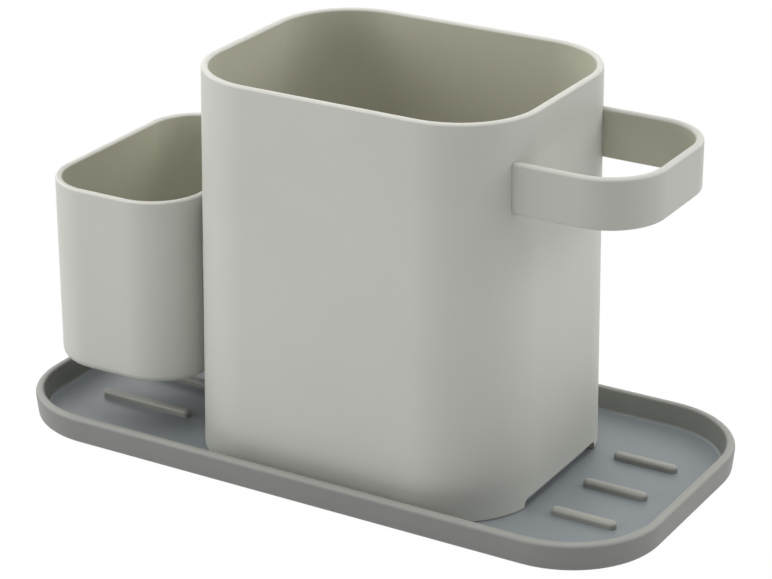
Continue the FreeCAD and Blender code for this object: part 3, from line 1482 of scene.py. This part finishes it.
@dataclass
class Studio:
    """White floor, soft light and the photograph's viewpoint."""

    aim: Vector
    boxes: tuple[SoftBox, ...]
    ambient: float = 0.3
    floor_size: float = 8.0
    floor_grey: Srgb = (243.0, 243.0, 243.0)
    white_share: float = 0.985
    camera_place: Vector = Vector((0.4702, -0.7945, 0.4507))
    camera_aim: Vector = Vector((0.00345, 0.0, 0.06141))
    lens: float = 126.16
    sensor: float = 36.0

    def build(self) -> None:
        """Set up the light, the floor and the camera."""
        scene = bpy.context.scene
        scene.view_settings.view_transform = "Standard"
        for box in self.boxes:
            box.hang(self.aim)
        self._world(scene)
        self._floor()
        self._camera(scene)
        LOG.info("studio: %d soft boxes", len(self.boxes))

    @staticmethod
    def _seen_directly(desk: NodeDesk) -> Socket:
        """Tell the rays from the camera, and mirrored or refracted ones, from the rest.

        Args:
            desk: Tree of the world or the floor.

        Returns:
            Socket that is 1 for those rays.
        """
        path = desk.add("LightPath").outputs
        mirrored = desk.math(Op.MAXIMUM, path["Is Glossy Ray"], path["Is Transmission Ray"])
        return desk.math(Op.MAXIMUM, path["Is Camera Ray"], mirrored)

    def _world(self, scene: bpy.types.Scene) -> None:
        """Light the scene evenly from all round, by a world that is seen as white.

        Args:
            scene: The scene to light.
        """
        world = bpy.data.worlds.new("studio_world")
        world.use_nodes = True
        desk = NodeDesk(world.node_tree)
        spare = desk.math(Op.MULTIPLY, self._seen_directly(desk), 1.0 - self.ambient)
        strength = desk.math(Op.ADD, spare, self.ambient)
        light = desk.add("Background", {"Color": (1.0, 1.0, 1.0, 1.0), "Strength": strength})
        desk.add("OutputWorld", {"Surface": light.outputs["Background"]})
        scene.world = world

    def _floor(self) -> None:
        """Pale floor that is seen as white and keeps the object's shadow."""
        clear_bench()
        bpy.ops.mesh.primitive_plane_add(size=self.floor_size, location=(0.0, 0.0, 0.0))
        floor = bpy.context.active_object
        floor.name = "studio_floor"
        material = bpy.data.materials.new("studio_floor")
        material.use_nodes = True
        desk = NodeDesk(material.node_tree)
        share = desk.math(Op.MULTIPLY, self._seen_directly(desk), self.white_share)
        matte = desk.add("BsdfDiffuse", {"Color": linear(self.floor_grey)}).outputs["BSDF"]
        white = desk.add("Emission").outputs["Emission"]
        mix = desk.add("MixShader", {0: share, 1: matte, 2: white})
        desk.add("OutputMaterial", {"Surface": mix.outputs["Shader"]})
        wear(floor, material)
        floor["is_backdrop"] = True

    def _camera(self, scene: bpy.types.Scene) -> None:
        """Set the camera at the photograph's viewing angle.

        Args:
            scene: The scene to look at.
        """
        data = bpy.data.cameras.new("photo_camera")
        data.sensor_fit = "HORIZONTAL"
        data.sensor_width = self.sensor
        data.lens = self.lens
        camera = bpy.data.objects.new("photo_camera", data)
        camera.location = self.camera_place
        look = self.camera_aim - self.camera_place
        camera.rotation_euler = look.to_track_quat("-Z", "Y").to_euler()
        scene.collection.objects.link(camera)
        scene.camera = camera


FOOT_FINISH = MouldedFinish(
    name="foot_rubber",
    base=(52.0, 52.0, 52.0),
    drift=(46.0, 46.0, 46.0),
    drift_size=4.0 * MM,
    roughness=0.75,
    roughness_swing=0.15,
    grain_size=0.5 * MM,
    grain_depth=0.05 * MM,
    bump_strength=0.5,
    ior=1.52,
)

SOFT_BOXES = (
    SoftBox("left_box", azimuth=-80.0, elevation=20.0, power=4.3, height=0.8),
    SoftBox("left_front_box", azimuth=-45.0, elevation=20.0, power=8.1, height=0.8),
    SoftBox("right_box", azimuth=110.0, elevation=20.0, power=6.2, height=0.8),
    SoftBox("back_right_box", azimuth=150.0, elevation=35.0, power=5.0),
    SoftBox("back_left_box", azimuth=-130.0, elevation=30.0, power=3.0),
    SoftBox("top_box", azimuth=0.0, elevation=88.0, power=11.5),
)


def caddy_skin(name: str, box: Box, shade: float = 1.0) -> Skin:
    """The plastic of the two caddies and the rail.

    Args:
        name: Name of the material.
        box: Box of the piece that wears it.
        shade: Share that darkens the piece's colours; below 1, as for the rail, it is a painted shade.

    Returns:
        The material.
    """
    low, high = box
    finish = CaddyFinishAndPaintedLight(
        name=name,
        base=shaded((187.0, 188.0, 181.0), shade),
        drift=shaded((184.0, 185.0, 178.0), shade),
        drift_size=60.0 * MM,
        roughness=0.55,
        roughness_swing=0.12,
        grain_size=0.35 * MM,
        grain_depth=0.03 * MM,
        bump_strength=0.35,
        ior=1.49,
        # Painted shade tint on the faces that look into the piece
        inner=shaded((189.0, 187.0, 170.0), shade),
        # Painted highlight on the faces that look up
        edge=shaded((206.0, 205.0, 198.0), shade),
        middle_x=(low.x + high.x) / 2,
    )
    return finish.material()


def tray_skin(tray: DripTray) -> Skin:
    """The tray's plastic.

    Args:
        tray: The tray that wears it.

    Returns:
        The material.
    """
    finish = TrayFinishAndPaintedLight(
        name="tray_satin_plastic",
        base=(124.0, 125.0, 122.0),
        drift=(121.0, 122.0, 119.0),
        drift_size=50.0 * MM,
        roughness=0.5,
        roughness_swing=0.12,
        grain_size=0.4 * MM,
        grain_depth=0.03 * MM,
        bump_strength=0.35,
        ior=1.49,
        # Painted light on the faces from the lip inwards
        inside=(147.0, 148.0, 142.0),
        # Painted highlight on the ribs' upward faces
        rib_highlight=(162.0, 162.0, 155.0),
        floor=(132.0, 138.0, 142.0),
        floor_roughness=0.38,
        floor_height=tray.floor_top,
        floor_fade=1.6 * MM,
        rib_top=tray.rib_top,
        half_length=(tray.high.x - tray.low.x) / 2,
        half_width=(tray.high.y - tray.low.y) / 2,
    )
    return finish.material()


def main() -> None:
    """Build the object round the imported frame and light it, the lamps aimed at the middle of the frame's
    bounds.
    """
    logging.basicConfig(level=logging.INFO, format="%(message)s")
    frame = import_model()
    cad_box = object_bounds()

    rail = ClothRail(*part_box("cloth_rail"))
    caddy = TallCaddy(*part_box("main_caddy"))
    small = SmallCaddy(*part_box("small_caddy"))
    feet = Feet()
    tray = DripTray(*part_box("drip_tray"), skirt=caddy.outline, feet=feet.boxes())

    tray.dress(tray.build(), tray_skin(tray))
    caddy.dress(caddy.build(rail), caddy_skin("tall_caddy_plastic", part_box("main_caddy")))
    # The rail's colours are darkened a little as painted shade
    rail_skin = caddy_skin("cloth_rail_plastic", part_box("cloth_rail"), RAIL_PAINTED_SHADE)
    rail.dress(rail.build(caddy.outline), rail_skin)
    small.dress(small.build(), caddy_skin("small_caddy_plastic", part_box("small_caddy")))
    feet.dress(frame["nodes"], FOOT_FINISH.material())

    Studio(aim=(cad_box[0] + cad_box[1]) / 2, boxes=SOFT_BOXES).build()


if __name__ == "__main__":
    main()
